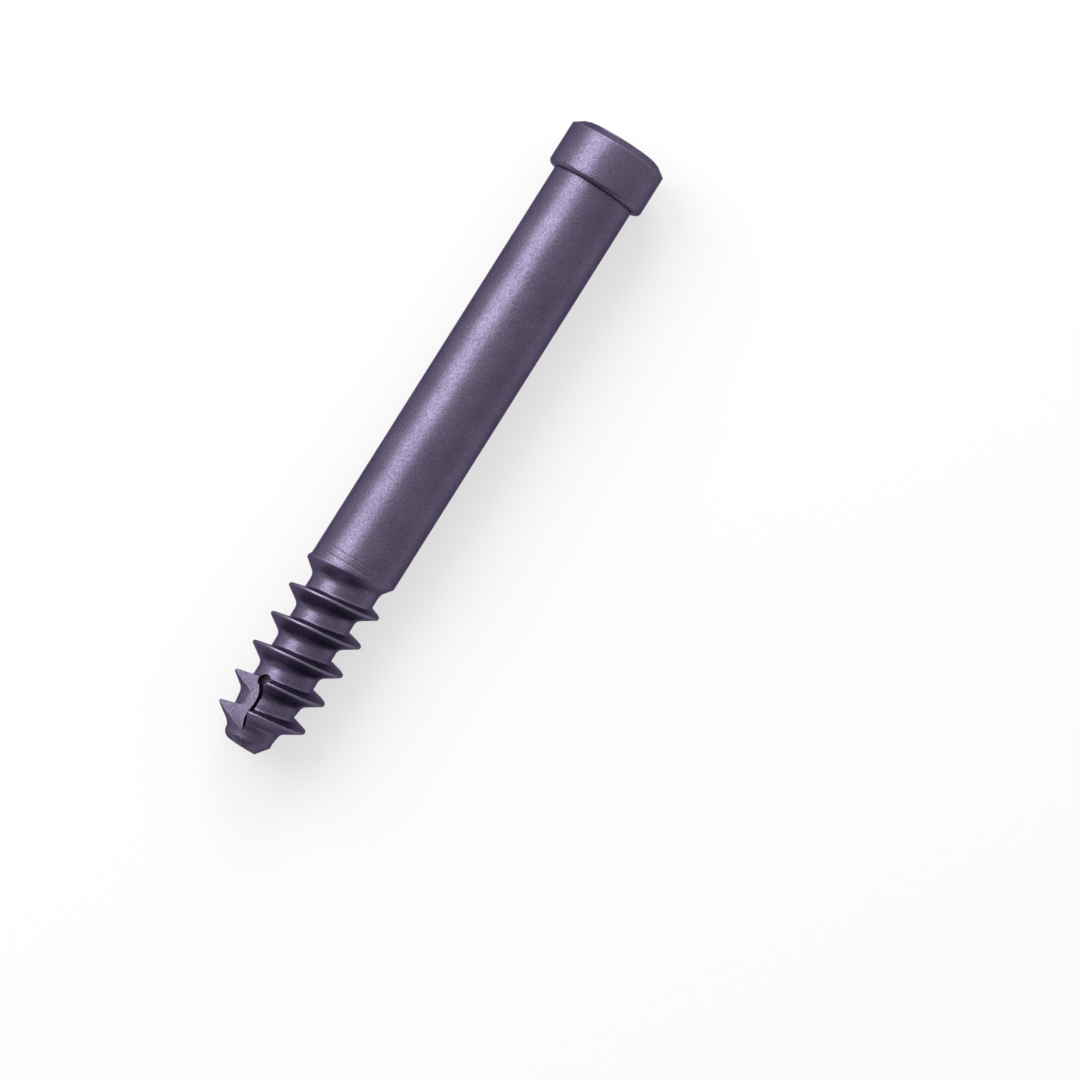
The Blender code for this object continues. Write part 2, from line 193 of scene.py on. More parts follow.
def section_curve(n, size):
    """One pitch of the thread, crest to crest, with its corners rounded."""
    depth = n.product(n.less(size["Thread Diameter"], size["Core Diameter"]), 0.5)
    edge = n.product(size["Crest Width"], 0.5)
    head_foot = n.total(edge, n.product(depth, n.math("TANGENT", size["Head Side Flank"])))
    tip_reach = n.total(edge, n.product(depth, n.math("TANGENT", size["Tip Side Flank"])))
    tip_foot, tip_crest = n.less(size["Pitch"], tip_reach), n.less(size["Pitch"], edge)

    def between(first, second, share):
        return n.total(n.product(first, 1 - share), n.product(second, share))

    bottom = [n.vector(between(head_foot, tip_foot, share), 0.0) for share in BOTTOM_POINTS]
    flank = [n.vector(between(tip_foot, tip_crest, share), n.product(depth, share))
             for share in FLANK_POINTS]
    corners = [n.vector(0.0, depth), n.vector(edge, depth), n.vector(head_foot, 0.0), *bottom,
               n.vector(tip_foot, 0.0), *flank, n.vector(tip_crest, depth), n.vector(size["Pitch"], depth)]
    rounds = [0.0, size["Crest Round"], size["Head Side Root Radius"], *[0.0] * len(bottom),
              size["Tip Side Root Radius"], *[0.0] * len(flank), size["Crest Round"], 0.0]
    index = n.add("GeometryNodeInputIndex").outputs[0]
    line = n.add("GeometryNodeMeshLine", {"Count": len(corners)})
    corner = n.pick(index, corners, "VECTOR")
    bent = n.add("GeometryNodeSetPosition", {"Geometry": line.outputs[0], "Position": corner})
    curve = n.add("GeometryNodeMeshToCurve", {"Mesh": bent.outputs[0]})
    inputs = {"Curve": curve.outputs[0], "Count": size["Corner Points"],
              "Radius": n.pick(index, rounds, "FLOAT")}
    return n.add("GeometryNodeFilletCurve", inputs, mode="POLY").outputs[0], depth


# %% [markdown]
# ## How the groove and the crest run
# The tool draws back at the end of its path, so the groove rises into the shank: gently first, then
# steeply. At the tip the groove's bottom follows the nose, which is narrower, stands a little off
# centre, and ends in a chamfer that slants across it. The crest starts on the nose and ends flush with
# the shank. Both radii are put together from simple ramps of the height, so each size changes one
# thing.

# %% Groove and crest


def groove_radius(n, size, height, crest_above, turn_cosine):
    """Radius at the bottom of the groove."""
    share = n.ramp(crest_above, size["Groove Runout Start"], size["Groove Runout End"])
    even = n.product(share, size["Groove Even Share"])
    steep = n.math("POWER", share, size["Groove Runout Power"])
    late = n.product(n.less(1.0, size["Groove Even Share"]), steep)
    rise = n.product(n.total(even, late), n.less(size["Shank Diameter"], size["Core Diameter"]), 0.5)
    taper = n.ramp(height, size["Nose Taper Bottom"], size["Nose Taper Top"], 1.0, 0.0)
    narrowing = n.product(taper, n.less(size["Core Diameter"], size["Nose Diameter"]), 0.5)
    onset = n.ramp(height, size["Core Offset Start"], size["Core Offset Full"], smooth=True)
    fade = n.ramp(height, size["Core Offset Fade"], size["Core Offset End"], 1.0, 0.0, smooth=True)
    offset = n.product(onset, fade, size["Core Offset"], turn_cosine)
    radius = n.less(n.total(n.product(size["Core Diameter"], 0.5), rise, offset), narrowing)
    lean = n.math("POWER", n.product(n.less(1.0, turn_cosine), 0.5), size["Chamfer Power"])
    span = n.less(size["Chamfer High Shoulder"], size["Chamfer Low Shoulder"])
    shoulder = n.total(size["Chamfer Low Shoulder"], n.product(lean, span))
    cut = n.product(size["Chamfer Slope"], n.less(shoulder, height))
    chamfer = n.less(n.product(size["Nose Diameter"], 0.5), cut)
    return n.math("MINIMUM", radius, chamfer)


def crest_radius(n, size, crest_height, root):
    """Radius of the crest: it starts on the nose and ends flush with the shank."""
    taper = n.ramp(crest_height, size["Thread Taper Bottom"], size["Thread Taper Top"], 1.0, 0.0)
    full = n.less(n.product(size["Thread Diameter"], 0.5), n.product(taper, size["Thread Taper Depth"]))
    flush = n.ramp(crest_height, size["Crest Runout Start"], size["Crest Runout End"], smooth=True)
    full = n.total(full, n.product(flush, n.less(n.product(size["Shank Diameter"], 0.5), full)))
    start = n.ramp(crest_height, size["Thread Start"], size["Thread Taper Bottom"], smooth=True)
    return n.total(root, n.product(start, n.less(full, root)))


# %% [markdown]
# ## Winding the section round the screw
# A flat grid is wrapped round the screw. Its columns stand for the angle, and its rows follow the
# section again and again, one pitch further each time. Where the angle grows from 0 to a full turn the
# height grows by one pitch, so the last column meets the first one and a right-hand helix closes. A
# screw modifier on a curve would wind faster, but it couldn't let the groove run out. The winding
# starts two pitches below the lowest crest, so there is surface to trim at the tip.

# %% The tree that winds the section round the screw
PITCHES_BELOW = 2.0
# A point past this share of the pitch belongs to the crest above it.
VALLEY_SHARE = 0.4


def thread_tree(skin):
    """The tree whose inputs are the thread's sizes and counts."""
    tree = bpy.data.node_groups.new("helical thread", "GeometryNodeTree")
    for name in THREAD:
        tree.interface.new_socket(name, in_out="INPUT", socket_type="NodeSocketFloat")
    for name in COUNTS:
        tree.interface.new_socket(name, in_out="INPUT", socket_type="NodeSocketInt")
    tree.interface.new_socket("Geometry", in_out="OUTPUT", socket_type="NodeSocketGeometry")
    n = Nodes(tree)
    size = n.add("NodeGroupInput").outputs
    section, depth = section_curve(n, size)
    points = n.add("GeometryNodeAttributeDomainSize", {"Geometry": section}, component="CURVE")
    steps = n.less(points.outputs["Point Count"], 1.0)
    rows = n.product(size["Turns"], steps)
    grid = n.add("GeometryNodeMeshGrid", {"Size X": 1.0, "Size Y": 1.0,
                                          "Vertices X": n.total(size["Columns"], 1.0),
                                          "Vertices Y": n.total(rows, 1.0)})
    here = n.add("GeometryNodeInputPosition").outputs[0]
    flat = n.add("ShaderNodeSeparateXYZ", {0: here}).outputs
    share = n.total(flat["X"], 0.5)
    row = n.math("ROUND", n.product(n.total(flat["Y"], 0.5), rows))
    turn = n.math("FLOOR", n.math("DIVIDE", row, steps))
    step = n.less(row, n.product(turn, steps))
    sample = n.add("GeometryNodeSampleIndex", {"Geometry": section, "Value": here, "Index": step},
                   data_type="FLOAT_VECTOR", domain="POINT")
    drawn = n.add("ShaderNodeSeparateXYZ", {0: sample.outputs[0]}).outputs
    pitch = size["Pitch"]
    lowest = n.math("FLOORED_MODULO", size["Crest Height At Angle Zero"], pitch)
    first = n.less(lowest, n.product(pitch, PITCHES_BELOW))
    crest_below = n.total(first, n.product(pitch, n.total(turn, share)))
    height = n.total(crest_below, drawn["X"])
    angle = n.product(share, 2 * pi)
    turn_cosine = n.math("COSINE", angle)
    root = groove_radius(n, size, height, n.total(crest_below, pitch), turn_cosine)
    on_upper = n.math("GREATER_THAN", drawn["X"], n.product(pitch, VALLEY_SHARE))
    crest = crest_radius(n, size, n.total(crest_below, n.product(pitch, on_upper)), root)
    radius = n.total(root, n.product(n.less(crest, root), n.math("DIVIDE", drawn["Y"], depth)))
    place = n.vector(height, n.product(radius, turn_cosine), n.product(radius, n.math("SINE", angle)))
    wound = n.add("GeometryNodeSetPosition", {"Geometry": grid.outputs[0], "Position": place})
    closed = n.add("GeometryNodeMergeByDistance", {"Geometry": wound.outputs[0], "Distance": TINY})
    real = n.add("GeometryNodeRealizeInstances", {"Geometry": closed.outputs[0]})
    dressed = n.add("GeometryNodeSetMaterial", {"Geometry": real.outputs[0], "Material": skin})
    n.add("NodeGroupOutput", {0: dressed.outputs[0]})
    return tree


# %% Wind the thread


def wound_thread(skin):
    """The thread's surface as a plain mesh, longer than needed at both ends."""
    holder = bpy.data.objects.new("thread", bpy.data.meshes.new("thread"))
    bpy.context.scene.collection.objects.link(holder)
    wind = holder.modifiers.new("wind", "NODES")
    wind.node_group = thread_tree(skin)
    values = {**THREAD, **COUNTS}
    for item in wind.node_group.interface.items_tree:
        if item.in_out == "INPUT":
            wind[item.identifier] = values[item.name]
    graph = bpy.context.evaluated_depsgraph_get()
    mesh = bpy.data.meshes.new_from_object(holder.evaluated_get(graph))
    bpy.data.objects.remove(holder, do_unlink=True)
    return mesh


titanium = bpy.data.materials.new("anodised_titanium")
thread = wound_thread(titanium)
print("thread:", len(thread.polygons), "faces")

# %% [markdown]
# ## Outlines of the nose and the head
# The rest of the screw is turned, so a radius at each height says it all. The nose has a round end, and
# the chamfer leaves less of it on one side. The head has a rounded lower edge, a bevel and a low boss
# round the socket. Arcs are used for the rounded edges, because the light shows each facet of metal.

# %% Nose and head outlines
HEAD = {"height": 4.6 * MM, "diameter": 9.0 * MM, "lower_round": 0.4495 * MM, "edge_round": 0.10 * MM,
        "bevel_width": 0.78 * MM, "bevel_height": 0.56 * MM,
        "boss_diameter": 6.8 * MM, "boss_height": 0.13 * MM, "boss_round": 0.05 * MM}
LOWER_STEPS, EDGE_STEPS = 10, 4


def nose_radius(height, angle):
    """Radius that the nose's round end and its chamfer leave. The chamfer is deepest at 180 degrees."""
    lean = ((1 - cos(angle)) / 2) ** NOSE["power"]
    shoulder = NOSE["low_shoulder"] + lean * (NOSE["high_shoulder"] - NOSE["low_shoulder"])
    radius = NOSE["diameter"] / 2 - NOSE["slope"] * (shoulder - height)
    rise = NOSE["round"] - height
    return min(radius, NOSE["diameter"] / 2 - NOSE["round"] + sqrt(NOSE["round"] ** 2 - rise ** 2))


def arc(centre, radius, start, end, steps):
    """Points on a circle from one angle to another."""
    return [(centre[0] + radius * cos(turn), centre[1] + radius * sin(turn))
            for turn in np.linspace(start, end, steps + 1)]


def head_outline():
    """(height, radius) from the seat under the head to the edge of its boss."""
    seat = OVERALL_LENGTH - HEAD["height"]
    radius, lower = HEAD["diameter"] / 2, HEAD["lower_round"]
    land = OVERALL_LENGTH - HEAD["boss_height"]
    wall_top = land - HEAD["bevel_height"]
    slant = atan(HEAD["bevel_width"] / HEAD["bevel_height"])
    edge = HEAD["edge_round"]
    back = edge * tan(slant / 2)
    boss, boss_round = HEAD["boss_diameter"] / 2, HEAD["boss_round"]
    outline = [(seat, SHANK_DIAMETER / 2)]
    outline += arc((seat + lower, radius - lower), lower, pi, pi / 2, LOWER_STEPS)
    outline += arc((wall_top - back, radius - edge), edge, pi / 2, pi / 2 - slant, EDGE_STEPS)
    outline += [(land, radius - HEAD["bevel_width"]), (land, boss)]
    outline += arc((OVERALL_LENGTH - boss_round, boss - boss_round), boss_round, pi / 2, 0.0, EDGE_STEPS)
    return outline


print("head outline:", len(head_outline()), "points")

# %% [markdown]
# ## Turned ends
# The wound surface is trimmed square at both ends, and each open edge is then drawn out from ring to
# ring along the outlines. A ready-made cylinder could be joined on instead, but its corners would not
# meet the thread's. Every ring here keeps the angles of the edge that it grew from, so no seam opens.

# %% Turn the blank
NOSE_RINGS = 8


def open_edge(mesh, height):
    """The edges at one height that have a face on one side only."""
    return [edge for edge in mesh.edges
            if edge.is_boundary and all(abs(v.co.x - height) < TINY for v in edge.verts)]


def draw_out(mesh, edges, height, radius_at):
    """Extrudes an open edge to a new ring, and returns the ring's edges."""
    made = bmesh.ops.extrude_edge_only(mesh, edges=edges)["geom"]
    corners = {item for item in made if isinstance(item, bmesh.types.BMVert)}
    for corner in corners:
        angle = atan2(corner.co.z, corner.co.y)
        radius = radius_at(angle)
        corner.co = (height, radius * cos(angle), radius * sin(angle))
    return [item for item in made
            if isinstance(item, bmesh.types.BMEdge) and corners.issuperset(item.verts)]


def turned_blank(thread):
    """The whole screw before its socket and flutes are cut, as one closed mesh."""
    mesh = bmesh.new()
    mesh.from_mesh(thread)
    low, high = NOSE["round"], THREAD["Groove Runout End"]
    for height, keep_above in ((low, True), (high, False)):
        parts = mesh.verts[:] + mesh.edges[:] + mesh.faces[:]
        bmesh.ops.bisect_plane(mesh, geom=parts, dist=TINY, plane_co=(height, 0, 0), plane_no=(1, 0, 0),
                               clear_inner=keep_above, clear_outer=not keep_above)
    bmesh.ops.remove_doubles(mesh, verts=mesh.verts, dist=TINY)
    ring = open_edge(mesh, low)
    for turn in np.linspace(pi / 2, 0.0, NOSE_RINGS + 1)[1:]:
        height = low * (1 - cos(turn))
        ring = draw_out(mesh, ring, height, lambda angle: nose_radius(height, angle))
    bmesh.ops.edgeloop_fill(mesh, edges=ring)
    ring = open_edge(mesh, high)
    for height, radius in head_outline():
        ring = draw_out(mesh, ring, height, lambda angle: radius)
    bmesh.ops.edgeloop_fill(mesh, edges=ring)
    bmesh.ops.scale(mesh, vec=(1.0, FINE_FIT, FINE_FIT), verts=mesh.verts)
    bmesh.ops.recalc_face_normals(mesh, faces=mesh.faces)
    return mesh


blank = turned_blank(thread)
print("blank:", len(blank.faces), "faces, open edges:", sum(not e.is_manifold for e in blank.edges))

# %% [markdown]
# ## Cutters
# What a drill, a broach or a mill takes away is made as a solid of its own and then subtracted. Two
# shapes of cutter are enough: one lofted through flat sections, and one turned round the axis. Both
# reach past the surface that they cut, because a cut between two surfaces in one place is left to chance.

# %% Cutter helpers
BEYOND = 1.0 * MM


def object_from(mesh, name):
    """A new object in the scene that takes over a mesh in the making."""
    data = bpy.data.meshes.new(name)
    mesh.to_mesh(data)
    mesh.free()
    made = bpy.data.objects.new(name, data)
    bpy.context.scene.collection.objects.link(made)
    return made


def loft(sections, name):
    """A closed cutter through sections that have the same number of corners."""
    mesh = bmesh.new()
    rows = [[mesh.verts.new(corner) for corner in section] for section in sections]
    mesh.faces.new(rows[0])
    mesh.faces.new(rows[-1])
    for lower, upper in zip(rows, rows[1:]):
        for index, corner in enumerate(lower):
            after = (index + 1) % len(lower)
            mesh.faces.new((corner, lower[after], upper[after], upper[index]))
    bmesh.ops.triangulate(mesh, faces=mesh.faces)
    bmesh.ops.recalc_face_normals(mesh, faces=mesh.faces)
    return object_from(mesh, name)


def lathe(profile, sides, name):
    """A closed cutter turned round the axis from (height, radius) points."""
    turns = [2 * pi * (side + 0.5) / sides for side in range(sides)]
    return loft([[(height, radius * cos(turn), radius * sin(turn)) for turn in turns]
                 for height, radius in profile], name)


# %% [markdown]
# ## Hexagon socket
# The socket takes the driver. A pilot is drilled first, a hexagon is broached into it, and a turned
# lead-in opens its mouth, so that the driver finds its way in.

# %% Socket cutters
SOCKET = {"across_flats": 3.5 * MM, "depth": 3.4 * MM, "mouth": 4.6 * MM,
          "pilot": 2.2 * MM, "pilot_extra": 0.6 * MM, "point_angle": radians(59)}
HEXAGON_SIDES = 6
PILOT_SIDES = 48
MOUTH_SIDES = 96


def socket_cutters():
    """The hexagon, the drilled pilot and the turned lead-in."""
    corner = SOCKET["across_flats"] / 2 / cos(pi / HEXAGON_SIDES)
    floor = OVERALL_LENGTH - SOCKET["depth"]
    top = OVERALL_LENGTH + BEYOND
    pilot, mouth = SOCKET["pilot"] / 2, SOCKET["mouth"] / 2
    pilot_end = floor - SOCKET["pilot_extra"]
    point = pilot_end - (pilot - TINY) / tan(SOCKET["point_angle"])
    lead_start = OVERALL_LENGTH - mouth + TINY
    return [lathe([(floor, corner), (top, corner)], HEXAGON_SIDES, "hexagon cutter"),
            lathe([(point, TINY), (pilot_end, pilot), (top, pilot)], PILOT_SIDES, "pilot cutter"),
            lathe([(lead_start, TINY), (top, mouth + BEYOND)], MOUTH_SIDES, "lead-in cutter")]


cutters = socket_cutters()
print("socket:", [cutter.name for cutter in cutters])

# %% [markdown]
# ## Relief of the cutting flutes
# Two flutes near the tip let the screw cut its own thread. Each takes two passes of the mill from one
# direction. The first leaves a flat relief that falls away from the cutting edge. It is open to the
# side, so it leaves no wall and no thin point on the crest.

# %% Relief
RAKE_OFFSET = 0.25 * MM
# The relief starts this far beside the cutting face, so that the two passes never share a plane.
RELIEF_CLEARANCE = 0.02 * MM
RELIEF_LEAN = radians(12)
RELIEF_FLOOR = {"level": 2.18 * MM, "start": 1.2 * MM, "slope": 0.095}
RELIEF_END = 6.0 * MM
CEILING = THREAD_DIAMETER / 2 + BEYOND


def relief_sections(place):
    """The flat relief from below the tip to its end, open to the side."""
    start = RELIEF_FLOOR["start"]
    near, far = RAKE_OFFSET + RELIEF_CLEARANCE, RAKE_OFFSET + CEILING
    for height in (-BEYOND, start, RELIEF_END):
        floor = RELIEF_FLOOR["level"] + RELIEF_FLOOR["slope"] * max(height - start, 0.0)
        outer = floor - CEILING * tan(RELIEF_LEAN)
        yield [place(near, height, floor), place(far, height, outer),
               place(far, height, CEILING), place(near, height, CEILING)]


# %% [markdown]
# ## Chip slot of the cutting flutes
# The second pass sinks a narrow slot along the foot of the cutting edge, up to a round hole, where the
# chips of bone gather. Its far side is a soft curve, so a few widths are given and a smooth line is led
# through them. The floor's distance from the axis sets how deep it goes.

# %% Chip slot
SLOT_FLOOR = 1.05 * MM
HOLE = {"radius": 0.62 * MM, "height": 5.72 * MM, "ahead": 0.55 * MM}
HOLE_STEPS = 32
# Heights above the tip and the slot's widths there, in millimetres.
SLOT_EDGE = [(1.25, 0.0), (1.76, 0.26), (2.3, 0.42), (2.8, 0.44),
             (3.9, 0.33), (4.4, 0.38), (4.9, 0.58), (5.3, 0.88)]
SLOT_STEPS = 4


def smooth_edge(points, steps):
    """A smooth line of heights and widths through the given ones."""
    heights = np.array([height for height, _ in points])
    widths = np.array([width for _, width in points])
    slopes = np.gradient(widths, heights)
    line = []
    for index, gap in enumerate(np.diff(heights)):
        for share in np.linspace(0.0, 1.0, steps, endpoint=False):
            ease = share * share * (3 - 2 * share)
            width = widths[index] * (1 - ease) + widths[index + 1] * ease
            width += gap * slopes[index] * share * (1 - share) ** 2
            width -= gap * slopes[index + 1] * share ** 2 * (1 - share)
            line.append(((heights[index] + gap * share) * MM, width * MM))
    return line + [(points[-1][0] * MM, points[-1][1] * MM)]


def slot_outline():
    """The chip slot along the foot of the rake face, ending in its round hole."""
    outline = [(RAKE_OFFSET + width, height) for height, width in smooth_edge(SLOT_EDGE, SLOT_STEPS)]
    height, width = SLOT_EDGE[-1]
    start = atan2(height * MM - HOLE["height"], width * MM - HOLE["ahead"])
    end = pi + acos(HOLE["ahead"] / HOLE["radius"])
    middle = (RAKE_OFFSET + HOLE["ahead"], HOLE["height"])
    return outline + arc(middle, HOLE["radius"], start, end, HOLE_STEPS)


print("slot outline:", len(slot_outline()), "points")

# %% [markdown]
# ## Two flutes, half a turn apart
# Opposite flutes keep the screw straight as it cuts. Both come from the same function, which only turns
# the direction that the mill comes from.

# %% Flute cutters
FLUTE_COUNT = 2
FLUTE_ANGLE = radians(78.5)


def flute_cutters(number):
    """The relief and the slot of one flute."""
    out_angle = FLUTE_ANGLE + 2 * pi * number / FLUTE_COUNT
    ahead = Vector((0.0, sin(out_angle), -cos(out_angle)))
    out = Vector((0.0, cos(out_angle), sin(out_angle)))

    def place(side, height, level):
        return Vector((height, 0.0, 0.0)) + ahead * side + out * level

    relief = loft(list(relief_sections(place)), f"relief cutter {number + 1}")
    slot = loft([[place(side, height, level) for side, height in slot_outline()]
                 for level in (SLOT_FLOOR, CEILING)], f"slot cutter {number + 1}")
    return [relief, slot]


for number in range(FLUTE_COUNT):
    cutters += flute_cutters(number)
print("cutters:", len(cutters))

# %% [markdown]
# ## Cutting the screw
# The cutters are taken out of the blank one after another, the socket's first and then the flutes'.
# The exact solver is slower than the fast one, and it leaves clean edges.

# %% Cut the screw


def cut_away(screw, cutters):
    """Takes each cutter out of the screw's mesh and removes it."""
    for cutter in cutters:
        cut = screw.modifiers.new(cutter.name, "BOOLEAN")
        cut.operation = "DIFFERENCE"
        cut.solver = "EXACT"
        cut.object = cutter
    graph = bpy.context.evaluated_depsgraph_get()
    screw.data = bpy.data.meshes.new_from_object(screw.evaluated_get(graph))
    screw.modifiers.clear()
    for cutter in cutters:
        bpy.data.objects.remove(cutter, do_unlink=True)


screw = object_from(blank, "turned_screw")
screw.data.materials.append(titanium)
cut_away(screw, cutters)
print("cut:", len(screw.data.polygons), "faces")

# %% [markdown]
# ## Down on the table
# A real screw dropped on a table comes to rest on the rim of its head and on a crest of its thread. The
# two points are found on the lower outline of the model, and the mesh itself is turned and moved, so
# that the object stays at the origin. The height along the screw and the distance from its axis are kept
# first, as attributes, because the skin's turning marks and its rubbed edges with their painted highlight
# follow them.

# %% Lay it down


def lower_support(points):
    """The stretch of the lower outline that is under the screw's middle, as two points."""
    hull = []
    for x, z in sorted(points):
        while len(hull) > 1:
            (x0, z0), (x1, z1) = hull[-2:]
            if (x1 - x0) * (z - z0) > (z1 - z0) * (x - x0):
                break
            hull.pop()
        hull.append((x, z))
    middle = OVERALL_LENGTH / 2
    return next((left, right) for left, right in zip(hull, hull[1:]) if left[0] <= middle <= right[0])


def lay_on_table(mesh):
    """Keeps the two distances, then turns and moves the mesh to where the screw rests."""
    corners = np.array([v.co for v in mesh.vertices], dtype=np.float64)
    across = np.hypot(corners[:, 1], corners[:, 2])
    for name, values in (("along", corners[:, 0]), ("across", across)):
        kept = mesh.attributes.new(name, "FLOAT", "POINT")
        kept.data.foreach_set("value", values.astype(np.float32))
    (x0, z0), (x1, z1) = lower_support([(x, z) for x, _, z in corners])
    tilt = atan((z1 - z0) / (x1 - x0))
    mesh.transform(Matrix.Rotation(tilt, 4, "Y"))
    corners = np.array([v.co for v in mesh.vertices], dtype=np.float64)
    low, high = corners.min(axis=0), corners.max(axis=0)
    middle = (low + high) / 2
    mesh.transform(Matrix.Translation((-middle[0], -middle[1], -low[2])))
    print("tilt in degrees:", tilt * 180 / pi, "size in mm:", (high - low) / MM)


lay_on_table(screw.data)

# %% [markdown]
# ## Blasted, anodised titanium
# The real screw is blasted, which leaves a fine even grain, and then anodised, which leaves a thin
# oxide film that turns the grey metal purple. A metal shader with a dark purple-grey colour gives the
# mirror part of that look. Noises of falling size tint the film in faint clouds, vary how rough the
# grain is and raise the grain itself, and the finest one makes single grains glint or stay dull.

# %% The film's colour and grain
FILM_COLORS = ((0.096, 0.080, 0.130, 1.0), (0.120, 0.102, 0.156, 1.0))
CLOUD_SIZE = 3.0 * MM
GRAIN_SIZE = 0.20 * MM
GLINT_SIZE = 0.6 * GRAIN_SIZE
NOISE_DETAIL, GLINT_DETAIL = 3.0, 1.0
CLOUD_RANGE = (0.3, 0.7)
GLINT_RANGE = (0.3, 0.7)
GLINT_DULL, GLINT_BRIGHT = 0.4, 1.9
GLINT_SHARE = 0.30


def noise(n, size, detail):
    """Noise in the object's own coordinates, with spots of one size."""
    place = n.add("ShaderNodeTexCoord").outputs["Object"]
    inputs = {"Vector": place, "Scale": 1 / size, "Detail": detail}
    return n.add("ShaderNodeTexNoise", inputs).outputs["Fac"]


def film_color(n):
    """The film's colour, with its clouds and its glints."""
    tint = n.add("ShaderNodeMix", data_type="RGBA")
    n.wire(n.ramp(noise(n, CLOUD_SIZE, NOISE_DETAIL), *CLOUD_RANGE), tint.inputs["Factor"])
    tint.inputs["A"].default_value, tint.inputs["B"].default_value = FILM_COLORS
    shine = n.ramp(noise(n, GLINT_SIZE, GLINT_DETAIL), *GLINT_RANGE, GLINT_DULL, GLINT_BRIGHT)
    grey = n.add("ShaderNodeCombineColor", {0: shine, 1: shine, 2: shine}).outputs[0]
    glint = n.add("ShaderNodeMix", data_type="RGBA", blend_type="MULTIPLY")
    glint.inputs["Factor"].default_value = GLINT_SHARE
    n.wire(tint.outputs["Result"], glint.inputs["A"])
    n.wire(grey, glint.inputs["B"])
    return glint.outputs["Result"]


print("film:", FILM_COLORS[0][:3], "to", FILM_COLORS[1][:3])

# %% [markdown]
# ## Rubbed edges with a painted highlight
# The film is thin, so the thread's crest and the rim of the head are rubbed smoother. Their colour is
# made lighter too, which is partly rubbed film and partly a painted highlight along these edges. Both
# are found by the two distances that the mesh keeps. Near the tip the crest is lower, so the missing
# height is added before the crest is looked for.

# %% Where the film is rubbed and a highlight is painted
CREST_RUB_AND_HIGHLIGHT = (3.87 * MM, 3.97 * MM)
RIM_HEIGHT = OVERALL_LENGTH - HEAD["boss_height"] - HEAD["bevel_height"]
RIM_RADIUS = 4.2 * MM
RIM_WIDTH = 0.10 * MM


def rubbed_highlight_share(n, along, across):
    """1 where the film is rubbed and a highlight is painted, 0 where it is whole."""
    lowered = n.ramp(along, THREAD["Thread Taper Bottom"], THREAD["Thread Taper Top"],
                     THREAD["Thread Taper Depth"], 0.0)
    on_thread = n.math("LESS_THAN", along, THREAD["Crest Runout End"])
    crest = n.product(n.ramp(n.total(across, lowered), *CREST_RUB_AND_HIGHLIGHT), on_thread)
    off_rim = n.math("ABSOLUTE", n.less(along, RIM_HEIGHT))
    on_head = n.math("GREATER_THAN", across, RIM_RADIUS)
    rim = n.product(n.ramp(off_rim, 0.0, RIM_WIDTH, 1.0, 0.0), on_head)
    return n.math("MAXIMUM", crest, rim)


print("rubbed rim:", round(RIM_HEIGHT / MM, 2), "mm above the tip")

# %% [markdown]
# ## Turned rings
# Two thin rings near the run-out are marks that the lathe left. They are too thin to be worth more rows
# of the mesh, so they lower the bump that also raises the grain.

# %% Depth of the rings
TURNED_RINGS = (17.72 * MM, 18.36 * MM)
RING_WIDTH = 0.08 * MM
RING_DEPTH = 1.5


def ring_depth(n, along):
    """How deep the rings are at each height, in heights of a grain."""
    offs = [n.math("ABSOLUTE", n.less(along, ring)) for ring in TURNED_RINGS]
    return n.total(*[n.ramp(off, 0.0, RING_WIDTH, RING_DEPTH, 0.0, smooth=True) for off in offs])


print("turned rings:", len(TURNED_RINGS))

# %% [markdown]
# ## The skin put together
# Anodised metal is still metal, so the shader is metallic all through. Its colour at a grazing angle is
# set too, because the shader would turn white there, and the real film stays purple.

# %% The anodised skin
# The lighter colour of the rubbed crest and rim, partly rubbed film and partly a painted highlight.
RUBBED_HIGHLIGHT_COLOR = (0.150, 0.131, 0.190, 1.0)
RUBBED_ROUGHNESS = 0.34
EDGE_TINT = (0.40, 0.36, 0.46, 1.0)
ROUGHNESS_RANGE = (0.35, 0.65)
ROUGHNESS = (0.31, 0.48)
GRAIN_HEIGHT = 0.014 * MM


def anodise(skin):
    """Gives the empty material its nodes."""
    skin.use_nodes = True
    n = Nodes(skin.node_tree)
    shader = skin.node_tree.nodes["Principled BSDF"]
    shader.inputs["Metallic"].default_value = 1.0
    shader.inputs["Specular Tint"].default_value = EDGE_TINT
    along = n.add("ShaderNodeAttribute", attribute_name="along").outputs["Fac"]
    across = n.add("ShaderNodeAttribute", attribute_name="across").outputs["Fac"]
    # Where the edges are rubbed, their lighter colour also paints a highlight on the crest and the rim.
    rubbed_highlight = rubbed_highlight_share(n, along, across)
    color = n.add("ShaderNodeMix", data_type="RGBA")
    color.inputs["B"].default_value = RUBBED_HIGHLIGHT_COLOR
    n.wire(rubbed_highlight, color.inputs["Factor"])
    n.wire(film_color(n), color.inputs["A"])
    n.wire(color.outputs["Result"], shader.inputs["Base Color"])
    grain = noise(n, GRAIN_SIZE, NOISE_DETAIL)
    rough = n.ramp(grain, *ROUGHNESS_RANGE, *ROUGHNESS)
    smoothed = n.less(rough, n.product(rubbed_highlight, n.less(rough, RUBBED_ROUGHNESS)))
    n.wire(smoothed, shader.inputs["Roughness"])
    bump = n.add("ShaderNodeBump", {"Height": n.less(grain, ring_depth(n, along)), "Strength": 1.0,
                                    "Distance": GRAIN_HEIGHT})
    n.wire(bump.outputs["Normal"], shader.inputs["Normal"])


anodise(titanium)
print("skin:", len(titanium.node_tree.nodes), "nodes")

# %% [markdown]
# ## Hand over the screw
# Round surfaces are shaded smooth, and an edge where the surface turns by more than the set angle stays
# sharp. The piece then rides on the frame's one body and stands in for its one plain solid.

